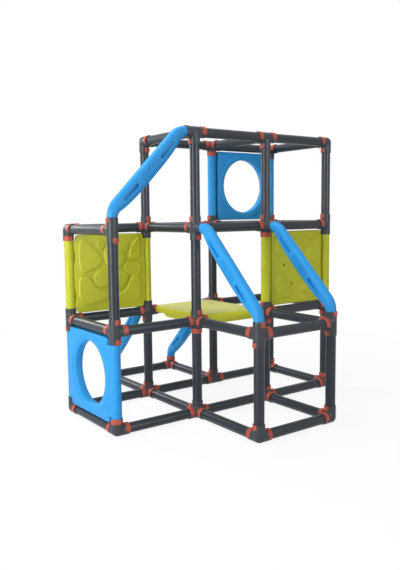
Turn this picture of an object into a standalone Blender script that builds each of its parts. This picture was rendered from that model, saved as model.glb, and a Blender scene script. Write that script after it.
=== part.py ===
"""Climbing frame: sockets, tubes, crawl panels, stone panels, deck, handrails and red clips.

The frame is a cube lattice. Moulded connectors sit at its nodes, plastic tubes plug into their
sockets, and a red clip on every socket locks what is plugged in. Panels and the deck have side
tubes of their own, which take the place of two plain tubes.
The 36 connectors, 56 tubes and 142 clips are joined into fewer solids: a beam is the connectors
of one straight run from front to back, with the tubes between them and the clips that they carry.
Every other tube and post is a piece of its own that plugs into the beams.
Metres, +Z up, the origin on the ground below the middle of the frame.
"""
import math

import bmesh
import bpy
from mathutils import Matrix, Vector

# Driving dimensions
PITCH = 0.430               # from one connector's middle to the next, the same in every direction
TUBE_RADIUS = 0.0225        # from a tube's axis to its flats
SOCKET_RADIUS = 0.0255      # from a socket's axis to its flats
SOCKET_REACH = 0.054        # from a connector's middle to a socket's mouth
TUBE_STOP = 0.026           # from a connector's middle to the end of what is plugged in
FIT_GAP = 0.0003            # clearance between pieces that seat on each other
FLAT_HALF = math.tan(math.pi / 8)   # half a flat of an octagon whose flats are 1 from its middle

# Locking clips
CLIP_START = 0.0315         # from a connector's middle to a clip, which ends at the socket's mouth
CLIP_THICKNESS = 0.0023
CLIP_ROOT = 0.001           # how far a clip's band reaches into the socket that carries it

# Panels and deck
PLATE_THICKNESS = 0.027
PLATE_MARGIN = 0.0285       # from the axis of a crossing tube to the plate's edge
PLATE_CORNER = (0.058, 0.062)   # where the plate's cut corner starts, across and along its side tubes
PLATE_SIDE = 0.024          # from a side tube's axis to the cut corner
GROOVE_EDGE = 0.017         # from a side tube's axis to the plate, past the moulded groove
CRAWL_RADIUS = 0.146
CRAWL_SEGMENTS = 28
CRAWL_PLATE_THICKNESS = 0.044   # through the collar round the hole
FUNNEL_RADIUS = 0.162       # crawl hole's lip at the front face
FUNNEL_DEPTH = 0.011
BACK_LIP_RADIUS = 0.151     # crawl hole's lip at the back face
BACK_LIP_DEPTH = 0.004
BACK_DISC_RADIUS = 0.177    # round step on the back
BACK_STEP = 0.005
CUTTER_PAST = 0.004         # how far a cutter starts outside what it cuts
STONE_PLATE_SINK = 0.002    # stone plate's front, behind the tubes' front
STONE_HEIGHT = 0.005
STONE_SLOPE = 0.004         # how far a stone's top is drawn in from its foot
STONE_ROOT = 0.003          # how far a stone reaches into the plate
DECK_RIBS = (0.25, 0.50, 0.75)      # ribs under the deck, as shares of the pitch
DECK_RIB_WIDTH = 0.014
DECK_RIB_DEPTH = 0.012

# Handrails
RAIL_CORNER = 0.089         # height at which a rail's slope would meet its lower tube's axis
RAIL_BEND = 0.070           # radius of the two bends
RAIL_BELLY = 0.027          # how much wider the grip gets on its lower side
RAIL_BEND_TURNS = (8, 27, 45)       # where the lower bend has its rings, in degrees from upright
RAIL_SLOPE_SHARES = (0.25, 0.50, 0.75)
SLOT_LENGTH = 0.091
SLOT_WIDTH = 0.0125
SLOT_OFFSET = 0.130         # from the grip's middle to the middle of a slot
SLOT_SHALLOW = 0.002
SLOT_DEEP = 0.010

# Where each column of the lattice stands, in steps of the pitch along +X and +Y
COLUMNS = {
    "A": (1, 0), "B": (0, 0), "C": (1, 1), "D": (2, 1), "E": (2, 2), "F": (0, 1),
    "G": (1, 2), "H": (1, 3), "I": (0, 3), "J": (0, 2), "K": (-1, 2), "L": (-1, 1),
}
LATTICE_MIDDLE = (0.5, 1.5)
# Level tubes: pairs of columns that a tube joins, level by level
LEVEL_TUBES = {
    0: "BA BF AC FC FJ LF LK KJ CD CG DE GE GH JI IH",
    1: "BA BF AC CD DE GE GH JI IH",
    2: "BA BF FC CG GH FJ JG JI IH",
    3: "FC CG GH FJ JG JI IH",
}
# Upright tubes: columns that have one, by the level that it starts from
POSTS = {0: "CDEFGHIJ", 1: "ACIJ", 2: "CFGH"}
# Panels: kind, the left and right columns as seen from the front, and the level they start from
PANELS = {
    "hole_panel_lower": ("hole", "B", "A", 0),
    "hole_panel_upper": ("hole", "I", "J", 2),
    "stone_panel_left": ("stone", "B", "F", 1),
    "stone_panel_right": ("stone", "H", "G", 1),
}
DECK = ("F", "C", 1)        # left column, right column and level of the deck's near corners
# Handrails: the lower column and level, and the column above and inwards that it climbs to
HANDRAILS = {
    "handrail_top": ("A", 2, "C"),
    "handrail_front_left": ("D", 1, "C"),
    "handrail_front_right": ("E", 1, "G"),
    "handrail_rear_left": ("L", 0, "F"),
    "handrail_rear_right": ("K", 0, "J"),
}
# Which way the clips on upright sockets are turned, in degrees from +X; the rest are at 135
UPRIGHT_CLIPS = {
    45: "A1z+ A1z- C1z+ D1z+ G0z+ I0z+ A2z- C2z- F2z+ I2z+ F3z- J1z+ E1z+ G1z- H1z+",
    225: "D0z+ E0z+ F0z+ J0z+ B1z- D1z- E1z- F1z- G1z+ A2z+ C2z+ G2z+ H2z+ J2z+ C3z- G3z- H3z- H1z-",
    315: "A0z+ C1z- B2z- G2z- J3z- K0z+ H0z+",
}
# Clips on level sockets lean to the front, except those set straight up and those turned back
STRAIGHT_CLIPS = "E0x- H0x- J0x- E1x- J1x- I0x+ C0y+ F0y+ G0y+ B1y+ C1y+ J1y-"
TURNED_CLIPS = "C2x+ G2x+ C3y-"

# Stone pads of the stone panel, seen from the front, as shares of the pitch
STONES = (
    ((0.11, 0.84), (0.21, 0.86), (0.36, 0.65), (0.32, 0.57), (0.13, 0.51)),
    ((0.09, 0.42), (0.17, 0.46), (0.29, 0.31), (0.43, 0.26), (0.40, 0.17), (0.10, 0.15)),
    ((0.30, 0.85), (0.42, 0.86), (0.41, 0.77), (0.35, 0.74)),
    ((0.25, 0.45), (0.34, 0.53), (0.46, 0.50), (0.47, 0.37), (0.35, 0.33)),
    ((0.41, 0.67), (0.51, 0.72), (0.66, 0.69), (0.60, 0.57), (0.44, 0.57)),
    ((0.48, 0.85), (0.73, 0.85), (0.69, 0.74), (0.53, 0.77)),
    ((0.84, 0.88), (0.90, 0.81), (0.90, 0.64), (0.73, 0.64), (0.77, 0.78)),
    ((0.66, 0.56), (0.75, 0.60), (0.89, 0.59), (0.89, 0.46), (0.73, 0.45)),
    ((0.52, 0.48), (0.61, 0.51), (0.70, 0.42), (0.65, 0.34), (0.53, 0.34)),
    ((0.79, 0.41), (0.87, 0.42), (0.88, 0.16), (0.52, 0.15), (0.53, 0.24), (0.69, 0.30)),
)
STONE_ROUNDING = 0.28       # share of each side that a stone's rounded corner takes

# Colours and finishes
FINISHES = {
    "grey_plastic": ((0.055, 0.065, 0.080), 0.42),
    "red_plastic": ((0.60, 0.085, 0.055), 0.38),
    "blue_plastic": ((0.035, 0.36, 0.85), 0.36),
    "green_plastic": ((0.48, 0.53, 0.035), 0.42),
}

AXES = {
    "x+": Vector((1, 0, 0)), "x-": Vector((-1, 0, 0)),
    "y+": Vector((0, 1, 0)), "y-": Vector((0, -1, 0)),
    "z+": Vector((0, 0, 1)), "z-": Vector((0, 0, -1)),
}


# Lattice

def place(column, level):
    """Middle of the connector of a column at a level."""
    across, along = COLUMNS[column]
    return Vector(((across - LATTICE_MIDDLE[0]) * PITCH, (along - LATTICE_MIDDLE[1]) * PITCH,
                   SOCKET_RADIUS + level * PITCH))


def axis_name(start, end):
    """Name of the axis that leads from one place to another."""
    step = (end - start).normalized()
    return next(name for name, axis in AXES.items() if axis.dot(step) > 0.9)


def lengthwise(pair):
    """Whether a level tube runs from front to back, and so belongs to a beam."""
    return COLUMNS[pair[0]][0] == COLUMNS[pair[1]][0]


def plain_tubes():
    """Names and ends of the tubes that are pieces of their own."""
    tubes = {}
    for level, pairs in LEVEL_TUBES.items():
        for pair in pairs.split():
            if not lengthwise(pair):
                tubes[f"tube_{level}_{pair}"] = ((pair[0], level), (pair[1], level))
    for level, columns in POSTS.items():
        for column in columns:
            tubes[f"post_{level}_{column}"] = ((column, level), (column, level + 1))
    return tubes


def beam_tubes():
    """The tubes of the beams, each from its front connector to the one behind."""
    ends = {}
    for level, pairs in LEVEL_TUBES.items():
        for pair in filter(lengthwise, pairs.split()):
            front, back = sorted(pair, key=lambda column: COLUMNS[column][1])
            ends[(front, level)] = (back, level)
    return ends


def find_beams(sockets):
    """Straight runs of connectors from front to back; one alone where no tube joins it."""
    ahead = beam_tubes()
    beams = []
    for start in sorted(set(sockets) - set(ahead.values())):
        beam = [start]
        while beam[-1] in ahead:
            beam.append(ahead[beam[-1]])
        beams.append(beam)
    return beams


def side_tube_runs():
    """Ends of the tubes that are moulded into the panels and the deck."""
    runs = [((column, level), (column, level + 1))
            for _, left, right, level in PANELS.values() for column in (left, right)]
    return runs + [(("F", DECK[2]), ("J", DECK[2])), (("C", DECK[2]), ("G", DECK[2]))]


def find_sockets():
    """Socket directions of every connector: one for each thing that plugs into it."""
    sockets = {}
    runs = side_tube_runs() + list(plain_tubes().values()) + list(beam_tubes().items())
    for start, end in runs:
        a, b = place(*start), place(*end)
        sockets.setdefault(start, set()).add(axis_name(a, b))
        sockets.setdefault(end, set()).add(axis_name(b, a))
    for lower, level, upper in HANDRAILS.values():
        sockets.setdefault((lower, level), set()).add("z+")
        inwards = axis_name(place(upper, level), place(lower, level))
        sockets.setdefault((upper, level + 1), set()).add(inwards)
    return sockets


# Mesh tools

def new_mesh(name, bm, materials=()):
    """Mesh from a bmesh, with merged corners, flat faces joined and normals outwards."""
    bmesh.ops.remove_doubles(bm, verts=bm.verts, dist=1e-6)
    bmesh.ops.dissolve_limit(bm, angle_limit=math.radians(0.5), verts=bm.verts, edges=bm.edges,
                             delimit={"MATERIAL"})
    bmesh.ops.recalc_face_normals(bm, faces=bm.faces)
    mesh = bpy.data.meshes.new(name)
    for item in materials:
        mesh.materials.append(item)
    bm.to_mesh(mesh)
    bm.free()
    return mesh


def octagon(radius):
    """Octagon with its flats facing the axes, anticlockwise."""
    half = radius * FLAT_HALF
    return [(radius, -half), (radius, half), (half, radius), (-half, radius),
            (-radius, half), (-radius, -half), (-half, -radius), (half, -radius)]


def add_prism(bm, outline, start, end, matrix=Matrix.Identity(4)):
    """Outline in the XY plane drawn out along Z from start to end."""
    low = [bm.verts.new(matrix @ Vector((x, y, start))) for x, y in outline]
    high = [bm.verts.new(matrix @ Vector((x, y, end))) for x, y in outline]
    bm.faces.new(reversed(low))
    bm.faces.new(high)
    for i in range(len(outline)):
        j = (i + 1) % len(outline)
        bm.faces.new((low[i], low[j], high[j], high[i]))


def add_rings(bm, rings):
    """Closed skin through rings of equally many points."""
    loops = [[bm.verts.new(point) for point in ring] for ring in rings]
    bm.faces.new(reversed(loops[0]))
    bm.faces.new(loops[-1])
    for low, high in zip(loops, loops[1:]):
        for i in range(len(low)):
            j = (i + 1) % len(low)
            bm.faces.new((low[i], low[j], high[j], high[i]))


def boolean(mesh, tool, operation):
    """Mesh joined with another (UNION) or cut by it (DIFFERENCE)."""
    target = bpy.data.objects.new("target", mesh)
    other = bpy.data.objects.new("tool", tool)
    for item in (target, other):
        bpy.context.scene.collection.objects.link(item)
    modifier = target.modifiers.new("boolean", "BOOLEAN")
    modifier.operation = operation
    modifier.solver = "EXACT"
    modifier.object = other
    depsgraph = bpy.context.evaluated_depsgraph_get()
    bm = bmesh.new()
    bm.from_object(target, depsgraph)
    for item in (target, other):
        bpy.data.objects.remove(item)
    return new_mesh(mesh.name, bm, mesh.materials)


def across_axis(axis):
    """Matrix that turns +Z to an axis, with the octagons' flats kept on the axes."""
    side = Vector((1, 0, 0)) if abs(axis.x) < 0.5 else Vector((0, 1, 0))
    return Matrix((side, axis.cross(side), axis)).transposed().to_4x4()


def material(name):
    """Plastic of one of the frame's four colours."""
    colour, roughness = FINISHES[name]
    made = bpy.data.materials.new(name)
    made.use_nodes = True
    shader = made.node_tree.nodes["Principled BSDF"]
    shader.inputs["Base Color"].default_value = (*colour, 1)
    shader.inputs["Roughness"].default_value = roughness
    shader.inputs["Metallic"].default_value = 0
    return made


def add_piece(name, mesh, finish, matrix=Matrix.Identity(4)):
    """Object for one piece, shaded smooth with its hard edges kept."""
    mesh.shade_smooth()
    mesh.set_sharp_from_angle(angle=math.radians(50))
    if not mesh.materials:
        mesh.materials.append(finish)
    piece = bpy.data.objects.new(name, mesh)
    piece.matrix_world = matrix
    bpy.context.scene.collection.objects.link(piece)
    return piece


# Connectors

def add_ball(bm, radius):
    """Rounded middle of a connector: a ball of squares and triangles that continues the octagons."""
    half = radius * FLAT_HALF
    for i in range(3):
        for signs in range(8):
            point = [half if signs >> k & 1 else -half for k in range(3)]
            point[i] = math.copysign(radius, point[i])
            bm.verts.new(point)
    hull = bmesh.ops.convex_hull(bm, input=bm.verts)
    bmesh.ops.delete(bm, geom=hull["geom_interior"], context="VERTS")


def arm_axes(directions):
    """For each axis with a socket: its name, and how far the arms reach back and forth."""
    for name in "xyz":
        reach = [SOCKET_REACH if name + sign in directions else 0 for sign in "-+"]
        if any(reach):
            yield AXES[name + "+"], -reach[0], reach[1]


def connector_mesh(directions, joined, materials):
    """Connector with a socket in each direction, bored where something plugs in.

    The directions in joined hold the tubes of the same beam, which fill their sockets.
    """
    ball = bmesh.new()
    add_ball(ball, SOCKET_RADIUS)
    mesh = new_mesh("connector", ball, materials)
    for axis, back, front in arm_axes(directions):
        arm = bmesh.new()
        add_prism(arm, octagon(SOCKET_RADIUS), back, front, across_axis(axis))
        mesh = boolean(mesh, new_mesh("arm", arm, materials), "UNION")
    open_sockets = sorted(directions - joined)
    if not open_sockets:
        return mesh
    bores = bmesh.new()
    for direction in open_sockets:
        matrix = across_axis(AXES[direction])
        add_prism(bores, octagon(TUBE_RADIUS + FIT_GAP), TUBE_STOP - FIT_GAP,
                  SOCKET_REACH + CUTTER_PAST, matrix)
    return boolean(mesh, new_mesh("bores", bores, materials), "DIFFERENCE")


# Clips

def clip_angle(socket):
    """Direction that a clip faces, in degrees from its socket's first side axis."""
    axis = socket[2:]
    if axis[0] == "z":
        return next((angle for angle, names in UPRIGHT_CLIPS.items() if socket in names.split()), 135)
    if socket in STRAIGHT_CLIPS.split():
        return 90
    front = 45 if axis[0] == "y" else 135
    return 180 - front if socket in TURNED_CLIPS.split() else front


def clip_frame(axis):
    """Axes that a clip's angle counts from: +X to +Y on uprights, else +X or -Y up to +Z."""
    if abs(axis.z) > 0.5:
        return AXES["x+"], AXES["y+"]
    return (AXES["y+"] if abs(axis.x) > 0.5 else AXES["x+"]), AXES["z+"]


def add_clip(bm, centre, axis, angle):
    """C-shaped band over three flats of a socket."""
    first, second = clip_frame(axis)
    corner_reach = 1 / math.cos(math.pi / 8)
    corners = [math.radians(angle + turn) for turn in (-67.5, -22.5, 22.5, 67.5)]
    band = [((SOCKET_RADIUS + CLIP_THICKNESS) * corner_reach, turn) for turn in corners]
    band += [((SOCKET_RADIUS - CLIP_ROOT) * corner_reach, turn) for turn in reversed(corners)]
    rings = []
    for distance in (CLIP_START, SOCKET_REACH):
        middle = centre + axis * distance
        rings.append([middle + first * (reach * math.cos(turn)) + second * (reach * math.sin(turn))
                      for reach, turn in band])
    add_rings(bm, rings)


# Beams and tubes

def make_beam(beam, sockets, materials):
    """Connectors of one straight run, joined by the tubes between them."""
    start = place(*beam[0])
    run = bmesh.new()
    length = (place(*beam[-1]) - start).length
    add_prism(run, octagon(TUBE_RADIUS), 0, max(length, TUBE_STOP), across_axis(AXES["y+"]))
    mesh = new_mesh("beam", run, materials)
    clips = bmesh.new()
    for i, (column, level) in enumerate(beam):
        directions = sockets[column, level]
        centre = place(column, level) - start
        joined = set()
        if i > 0:
            joined.add("y-")
        if i < len(beam) - 1:
            joined.add("y+")
        connector = connector_mesh(directions, joined, materials)
        connector.transform(Matrix.Translation(centre))
        mesh = boolean(mesh, connector, "UNION") if len(beam) > 1 else connector
        for direction in sorted(directions):
            add_clip(clips, centre, AXES[direction], clip_angle(f"{column}{level}{direction}"))
    for face in clips.faces:
        face.material_index = 1
    mesh = boolean(mesh, new_mesh("clips", clips, materials), "UNION")
    columns = "".join(column for column, _ in beam)
    kind = "beam" if len(beam) > 1 else "connector"
    add_piece(f"{kind}_{beam[0][1]}_{columns}", mesh, None, Matrix.Translation(start))


def make_tubes(finish):
    """Tubes and posts, each from stop to stop inside the two sockets that hold it."""
    bm = bmesh.new()
    add_prism(bm, octagon(TUBE_RADIUS), TUBE_STOP, PITCH - TUBE_STOP)
    mesh = new_mesh("tube", bm)
    for name, (start, end) in plain_tubes().items():
        a, b = place(*start), place(*end)
        add_piece(name, mesh, finish, Matrix.Translation(a) @ across_axis((b - a).normalized()))


# Panels and deck

def plate_outline(side):
    """Plate between two side tubes, with cut corners that clear the sockets."""
    corner_across, corner_along = PLATE_CORNER
    left = [(side, corner_along), (PLATE_SIDE, corner_along), (corner_across, PLATE_MARGIN)]
    lower = left + [(PITCH - x, z) for x, z in reversed(left)]
    return lower + [(x, PITCH - z) for x, z in reversed(lower)]


def panel_prism(outline, front, back):
    """Outline across (X) and along (Z) the side tubes, drawn through from front to back (Y)."""
    upright = Matrix(((1, 0, 0, 0), (0, 0, 1, 0), (0, 1, 0, 0), (0, 0, 0, 1)))
    bm = bmesh.new()
    add_prism(bm, outline, front, back, upright)
    return new_mesh("plate", bm)


def disc(radius):
    """Circle of the crawl hole's fineness, round the plate's middle."""
    turns = [2 * math.pi * (i + 0.5) / CRAWL_SEGMENTS for i in range(CRAWL_SEGMENTS)]
    return [(PITCH / 2 + radius * math.cos(turn), PITCH / 2 + radius * math.sin(turn)) for turn in turns]


def add_side_tubes(mesh):
    """The plate's two moulded tubes."""
    for across in (0, PITCH):
        bm = bmesh.new()
        side = Matrix.Translation((across, 0, 0))
        add_prism(bm, octagon(TUBE_RADIUS), TUBE_STOP, PITCH - TUBE_STOP, side)
        mesh = boolean(mesh, new_mesh("side_tube", bm), "UNION")
    return mesh


def crawl_cutter(front, back):
    """Turned shape of the crawl hole: funnel, throat and back lip."""
    slope = (FUNNEL_RADIUS - CRAWL_RADIUS) / FUNNEL_DEPTH
    back_slope = (BACK_LIP_RADIUS - CRAWL_RADIUS) / BACK_LIP_DEPTH
    stations = (
        (front - CUTTER_PAST, FUNNEL_RADIUS + slope * CUTTER_PAST),
        (front + FUNNEL_DEPTH, CRAWL_RADIUS),
        (back - BACK_LIP_DEPTH, CRAWL_RADIUS),
        (back + CUTTER_PAST, BACK_LIP_RADIUS + back_slope * CUTTER_PAST),
    )
    bm = bmesh.new()
    add_rings(bm, [[Vector((x, depth, z)) for x, z in disc(radius)] for depth, radius in stations])
    return new_mesh("crawl_cutter", bm)


def hole_panel_mesh():
    """Deep plate that the crawl hole goes through, with a round step on its back."""
    front = -TUBE_RADIUS
    back = front + CRAWL_PLATE_THICKNESS
    plate = panel_prism(plate_outline(GROOVE_EDGE), front, back - BACK_STEP)
    plate = boolean(plate, panel_prism(disc(BACK_DISC_RADIUS), back - 2 * BACK_STEP, back), "UNION")
    plate = add_side_tubes(plate)
    return boolean(plate, crawl_cutter(front, back), "DIFFERENCE")


def rounded(corners):
    """Each corner of an outline replaced by two points."""
    points = []
    for i, corner in enumerate(corners):
        for neighbour in (corners[i - 1], corners[(i + 1) % len(corners)]):
            points.append(tuple(c + (n - c) * STONE_ROUNDING for c, n in zip(corner, neighbour)))
    return points


def drawn_in(outline, distance):
    """Outline moved inwards towards its middle by about a distance."""
    middle = Vector((sum(x for x, _ in outline), sum(y for _, y in outline))) / len(outline)
    points = []
    for x, y in outline:
        arm = Vector((x, y)) - middle
        points.append(middle + arm * (1 - distance / arm.length))
    return points


def stone_mesh(corners, front):
    """One raised pad, rooted in the plate."""
    foot = [(x * PITCH, z * PITCH) for x, z in rounded(corners)]
    top = drawn_in(foot, STONE_SLOPE)
    stations = ((front + STONE_ROOT, foot), (front, foot), (front - STONE_HEIGHT, top))
    bm = bmesh.new()
    add_rings(bm, [[Vector((x, depth, z)) for x, z in outline] for depth, outline in stations])
    return new_mesh("stone", bm)


def stone_panel_mesh():
    """Thin plate with raised stones on its front, set back from its tubes behind."""
    front = -TUBE_RADIUS + STONE_PLATE_SINK
    plate = panel_prism(plate_outline(GROOVE_EDGE), front, front + PLATE_THICKNESS - STONE_PLATE_SINK)
    plate = add_side_tubes(plate)
    for corners in STONES:
        plate = boolean(plate, stone_mesh(corners, front), "UNION")
    return plate


def deck_mesh():
    """Deck plate with its top at the front, level with its tubes, and ribs below."""
    front = -TUBE_RADIUS
    back = front + PLATE_THICKNESS
    plate = panel_prism(plate_outline(TUBE_RADIUS * FLAT_HALF), front, back)
    plate = add_side_tubes(plate)
    for share in DECK_RIBS:
        low, high = share * PITCH - DECK_RIB_WIDTH / 2, share * PITCH + DECK_RIB_WIDTH / 2
        outline = [(0, low), (PITCH, low), (PITCH, high), (0, high)]
        plate = boolean(plate, panel_prism(outline, 0, back + DECK_RIB_DEPTH), "UNION")
    return plate


def make_panels(finishes):
    meshes = {
        "hole": (hole_panel_mesh(), finishes["blue_plastic"]),
        "stone": (stone_panel_mesh(), finishes["green_plastic"]),
    }
    for name, (kind, left, right, level) in PANELS.items():
        mesh, finish = meshes[kind]
        corner = place(left, level)
        across = (place(right, level) - corner).normalized()
        up = AXES["z+"]
        turn = Matrix((across, up.cross(across), up)).transposed().to_4x4()
        add_piece(name, mesh, finish, Matrix.Translation(corner) @ turn)


def make_deck(finish):
    left, right, level = DECK
    across = (place(right, level) - place(left, level)).normalized()
    along = AXES["y+"]
    turn = Matrix((across, along.cross(across), along)).transposed().to_4x4()
    add_piece("deck", deck_mesh(), finish, Matrix.Translation(place(left, level)) @ turn)


# Handrails

def rail_spine():
    """Points of a handrail's middle line, each with its turn from upright, lower end first."""
    tangent = RAIL_BEND * math.tan(math.pi / 8)
    mouth = SOCKET_REACH + 2 * FIT_GAP
    lower_middle = Vector((RAIL_BEND, RAIL_CORNER - tangent))
    points = [(Vector((0, TUBE_STOP)), 0), (Vector((0, mouth)), 0)]
    for turn in map(math.radians, RAIL_BEND_TURNS):
        points.append((lower_middle + RAIL_BEND * Vector((-math.cos(turn), math.sin(turn))), turn))
    # The upper half is the lower one mirrored in the slope's middle
    upper = [(Vector((PITCH - point.y, PITCH - point.x)), math.pi / 2 - turn)
             for point, turn in reversed(points)]
    slope_start, slope_end = points[-1][0], upper[0][0]
    points += [(slope_start.lerp(slope_end, share), math.pi / 4) for share in RAIL_SLOPE_SHARES]
    return points + upper


def rail_section(point, turn, fullness):
    """Ring round the spine: an octagon like a tube's, drawn out on the inner side by the belly."""
    inward = Vector((math.cos(turn), -math.sin(turn)))
    belly = RAIL_BELLY * fullness
    middle = point + inward * (belly / 2)
    wide = TUBE_RADIUS + belly / 2
    flat = TUBE_RADIUS * FLAT_HALF
    corner = TUBE_RADIUS - flat
    ring = []
    for aside, thick in ((wide, -flat), (wide, flat), (wide - corner, TUBE_RADIUS),
                         (corner - wide, TUBE_RADIUS), (-wide, flat), (-wide, -flat),
                         (corner - wide, -TUBE_RADIUS), (wide - corner, -TUBE_RADIUS)):
        spot = middle + inward * aside
        ring.append(Vector((spot.x, thick, spot.y)))
    return ring


def slot_cutter(side, face):
    """Tapered slot: side is -1 or 1 along the slope, face is -1 or 1 through the rail."""
    slope = Vector((1, 1)).normalized()
    inward = Vector((1, -1)).normalized()
    slope_middle = Vector(((PITCH - RAIL_CORNER) / 2, (PITCH + RAIL_CORNER) / 2)) + inward * RAIL_BELLY / 2
    half_length, half_width = SLOT_LENGTH / 2, SLOT_WIDTH / 2
    flat = half_length - half_width
    outline = [(-half_length, 0), (-flat, -half_width), (flat, -half_width),
               (half_length, 0), (flat, half_width), (-flat, half_width)]
    floor, above = [], []
    for along, aside in outline:
        share = 0.5 - along * side / SLOT_LENGTH
        depth = SLOT_SHALLOW + (SLOT_DEEP - SLOT_SHALLOW) * share
        spot = slope_middle + slope * (side * SLOT_OFFSET + along) + inward * aside
        floor.append(Vector((spot.x, face * (TUBE_RADIUS - depth), spot.y)))
        above.append(Vector((spot.x, face * (TUBE_RADIUS + CUTTER_PAST), spot.y)))
    bm = bmesh.new()
    add_rings(bm, [floor, above])
    return new_mesh("slot_cutter", bm)


def handrail_mesh():
    """Handrail from stop to stop: round in its sockets, with a wide slotted grip between."""
    spine = rail_spine()
    grip = len(spine) - 3
    rings = []
    for i, (point, turn) in enumerate(spine):
        share = min(max((i - 1) / grip, 0), 1)
        fullness = 1 - abs(2 * share - 1) ** 3
        rings.append(rail_section(point, turn, fullness))
    bm = bmesh.new()
    add_rings(bm, rings)
    mesh = new_mesh("handrail", bm)
    for side in (-1, 1):
        for face in (-1, 1):
            mesh = boolean(mesh, slot_cutter(side, face), "DIFFERENCE")
    return mesh


def make_handrails(finish):
    mesh = handrail_mesh()
    for name, (lower, level, upper) in HANDRAILS.items():
        foot = place(lower, level)
        across = (place(upper, level) - foot).normalized()
        up = AXES["z+"]
        turn = Matrix((across, up.cross(across), up)).transposed().to_4x4()
        add_piece(name, mesh, finish, Matrix.Translation(foot) @ turn)


def main():
    for item in list(bpy.data.objects):
        bpy.data.objects.remove(item)
    finishes = {name: material(name) for name in FINISHES}
    sockets = find_sockets()
    grey_and_red = (finishes["grey_plastic"], finishes["red_plastic"])
    for beam in find_beams(sockets):
        make_beam(beam, sockets, grey_and_red)
    make_tubes(finishes["grey_plastic"])
    make_panels(finishes)
    make_deck(finishes["green_plastic"])
    make_handrails(finishes["blue_plastic"])


if __name__ == "__main__":
    main()
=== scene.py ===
"""Looks of the climbing frame: round sockets and tubes, red clips, moulded panels, deck, handrails.

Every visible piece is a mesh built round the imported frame, in metres, with +Z up. The lattice's
pitch, the tubes' radius and the height of the lowest tubes are measured on the frame.
"""

import math

import bmesh
import bpy
from bpy.props import FloatProperty, FloatVectorProperty, IntProperty, PointerProperty
from bpy.types import Operator, Panel, PropertyGroup
from mathutils import Matrix, Vector
from mathutils.geometry import tessellate_polygon


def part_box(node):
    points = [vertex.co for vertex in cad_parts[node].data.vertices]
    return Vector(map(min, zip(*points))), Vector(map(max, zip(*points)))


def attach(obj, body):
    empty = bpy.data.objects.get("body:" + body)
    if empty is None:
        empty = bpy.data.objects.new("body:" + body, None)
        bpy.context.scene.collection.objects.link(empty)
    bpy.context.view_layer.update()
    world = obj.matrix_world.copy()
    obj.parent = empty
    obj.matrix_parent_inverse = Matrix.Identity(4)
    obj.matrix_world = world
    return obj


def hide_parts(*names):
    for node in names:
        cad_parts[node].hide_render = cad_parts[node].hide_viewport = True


bl_info = {
    "name": "Climbing Frame",
    "version": (1, 0, 0),
    "blender": (4, 5, 0),
    "location": "View3D > Sidebar > Climbing Frame",
    "description": "Dresses the packed climbing frame with its moulded plastic pieces",
    "category": "Add Mesh",
}

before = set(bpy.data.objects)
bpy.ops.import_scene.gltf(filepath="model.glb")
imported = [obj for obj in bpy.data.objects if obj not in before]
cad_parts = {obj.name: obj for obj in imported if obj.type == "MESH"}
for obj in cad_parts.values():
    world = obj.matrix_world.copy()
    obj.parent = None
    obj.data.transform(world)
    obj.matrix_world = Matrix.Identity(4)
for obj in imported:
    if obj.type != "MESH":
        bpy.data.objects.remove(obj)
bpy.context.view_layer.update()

BODY = "root"

# Where each column of the lattice stands, in steps of the pitch along +X and +Y
COLUMNS = {
    "A": (1, 0), "B": (0, 0), "C": (1, 1), "D": (2, 1), "E": (2, 2), "F": (0, 1),
    "G": (1, 2), "H": (1, 3), "I": (0, 3), "J": (0, 2), "K": (-1, 2), "L": (-1, 1),
}
# Level tubes: pairs of columns that a tube joins, level by level
LEVEL_TUBES = {
    0: "BA BF AC FC FJ LF LK KJ CD CG DE GE GH JI IH",
    1: "BA BF AC CD DE GE GH JI IH",
    2: "BA BF FC CG GH FJ JG JI IH",
    3: "FC CG GH FJ JG JI IH",
}
# Upright tubes: columns that have one, by the level that it starts from
POSTS = {0: "CDEFGHIJ", 1: "ACIJ", 2: "CFGH"}
# Panels: the left and right columns as seen from the front, and the level that they start from
HOLE_PANELS = {"hole_panel_lower": ("B", "A", 0), "hole_panel_upper": ("I", "J", 2)}
STONE_PANELS = {"stone_panel_left": ("B", "F", 1), "stone_panel_right": ("H", "G", 1)}
DECK = ("F", "C", 1)
DECK_TUBES = ("FJ", "CG")
# Handrails: the lower column, the column above and inwards that it climbs to, and its level
HANDRAILS = {
    "handrail_top": ("A", "C", 2),
    "handrail_front_left": ("D", "C", 1),
    "handrail_front_right": ("E", "G", 1),
    "handrail_rear_left": ("L", "F", 0),
    "handrail_rear_right": ("K", "J", 0),
}
# Which way the clips on upright sockets are turned, in degrees from +X; the rest are at 135
UPRIGHT_CLIPS = {
    45: "A1z+ A1z- C1z+ D1z+ G0z+ I0z+ A2z- C2z- F2z+ I2z+ F3z- J1z+ E1z+ G1z- H1z+",
    225: "D0z+ E0z+ F0z+ J0z+ B1z- D1z- E1z- F1z- G1z+ A2z+ C2z+ G2z+ H2z+ J2z+ C3z- "
         "G3z- H3z- H1z-",
    315: "A0z+ C1z- B2z- G2z- J3z- K0z+ H0z+",
}
# Clips on level sockets lean to the front, except those set straight up and those turned back
STRAIGHT_CLIPS = "E0x- H0x- J0x- E1x- J1x- I0x+ C0y+ F0y+ G0y+ B1y+ C1y+ J1y-"
TURNED_CLIPS = "C2x+ G2x+ C3y-"

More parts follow.
